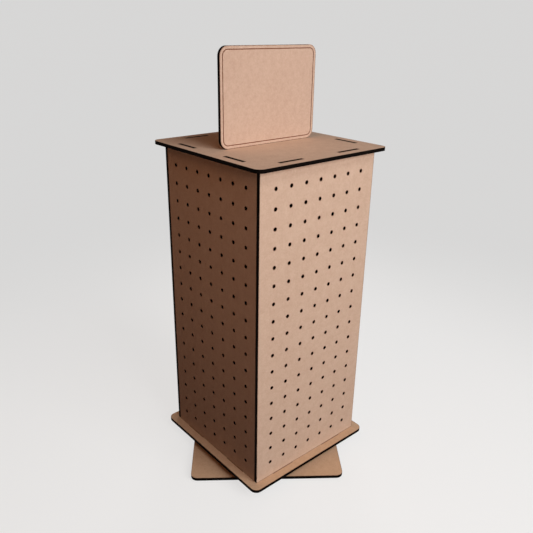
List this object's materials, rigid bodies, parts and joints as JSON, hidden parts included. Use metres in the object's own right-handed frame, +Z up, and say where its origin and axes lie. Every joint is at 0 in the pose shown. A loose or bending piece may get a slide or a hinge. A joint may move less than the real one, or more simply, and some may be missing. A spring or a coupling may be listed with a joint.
{
  "type": "rotating pegboard display",
  "caption": "Square pegboard column with a header sign, turning on a ball-race turntable above a square foot plate.",
  "frame": {"origin": "on the turning axis, at the underside of the rubber feet", "axes": "+Z up along the turning axis, -Y out of the front panel and the sign's engraved face, +X to the right as seen from the front"},
  "size_m": [0.3128, 0.3128, 0.6094],
  "materials": {
    "fibreboard": "bare medium-density fibreboard, laser-cut, with charred edges",
    "zinc_steel": "zinc-plated pressed steel",
    "ball_steel": "polished steel balls",
    "rubber": "matt black rubber"
  },
  "bodies": {
    "stand": {"foot_plate": "fibreboard", "bearing_lower_plate": "zinc_steel", "bearing_rivet": "zinc_steel", "lower_screw_1": "zinc_steel", "lower_screw_2": "zinc_steel", "lower_screw_3": "zinc_steel", "lower_screw_4": "zinc_steel", "rubber_foot_1": "rubber", "rubber_foot_2": "rubber", "rubber_foot_3": "rubber", "rubber_foot_4": "rubber"},
    "ball_ring": {"bearing_ball_01": "ball_steel", "bearing_ball_02": "ball_steel", "bearing_ball_03": "ball_steel", "bearing_ball_04": "ball_steel", "bearing_ball_05": "ball_steel", "bearing_ball_06": "ball_steel", "bearing_ball_07": "ball_steel", "bearing_ball_08": "ball_steel", "bearing_ball_09": "ball_steel", "bearing_ball_10": "ball_steel", "bearing_ball_11": "ball_steel", "bearing_ball_12": "ball_steel"},
    "column": {"turning_plate": "fibreboard", "front_panel": "fibreboard", "right_panel": "fibreboard", "back_panel": "fibreboard", "left_panel": "fibreboard", "top_plate": "fibreboard", "sign_plate": "fibreboard", "bearing_upper_plate": "zinc_steel", "upper_screw_1": "zinc_steel", "upper_screw_2": "zinc_steel", "upper_screw_3": "zinc_steel", "upper_screw_4": "zinc_steel"}
  },
  "joints": [
    {"name": "column_turn", "type": "hinge", "parent": "stand", "child": "column", "pos_m": [0, 0, 0.01275], "axis": [0, 0, 1], "continuous": true},
    {"name": "ball_orbit", "type": "hinge", "parent": "stand", "child": "ball_ring", "pos_m": [0, 0, 0.01275], "axis": [0, 0, 1], "continuous": true}
  ],
  "couplings": [
    {"joint": "ball_orbit", "follows": "column_turn", "ratio": 0.5}
  ]
}
